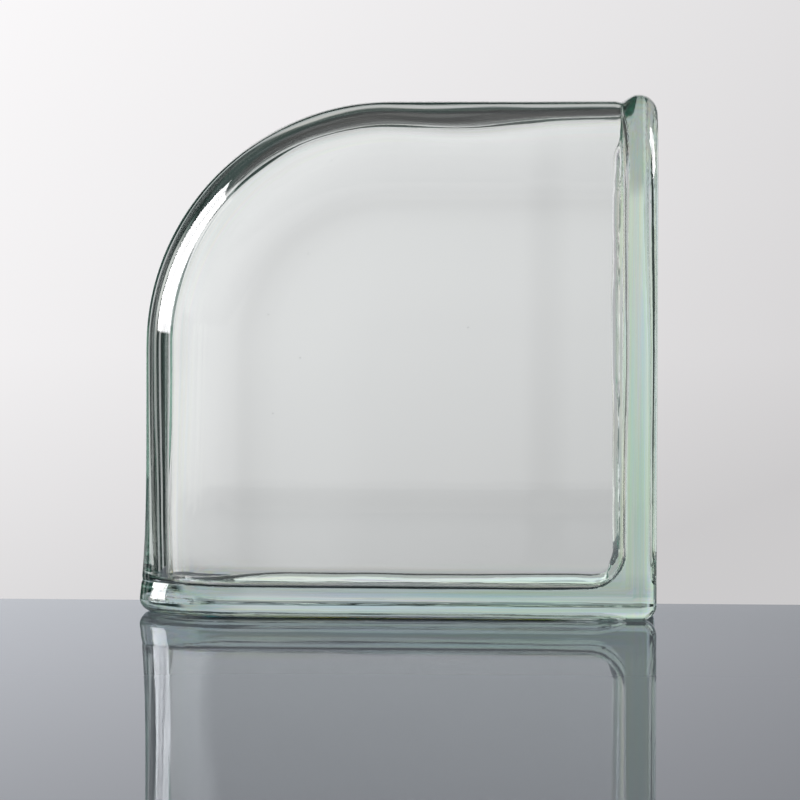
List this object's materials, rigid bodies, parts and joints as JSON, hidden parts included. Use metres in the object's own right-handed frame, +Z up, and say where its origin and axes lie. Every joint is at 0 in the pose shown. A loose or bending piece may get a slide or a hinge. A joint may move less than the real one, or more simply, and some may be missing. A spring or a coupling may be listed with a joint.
{
  "type": "glass block",
  "caption": "Hollow clear glass block with a half-round finished edge round one corner and keyed mortar sides below and at the right.",
  "frame": {"origin": "under the middle of the block, on the bottom mortar side that it stands on", "axes": "+Z up, +X towards the right mortar side, -Y out of the front face, so the rounded corner is at -X and +Z"},
  "size_m": [0.19, 0.08, 0.19],
  "materials": {
    "clear_glass": "clear, fire polished, faintly green where it is thick"
  },
  "bodies": {
    "root": {"glass_block": "clear_glass"}
  },
  "joints": []
}
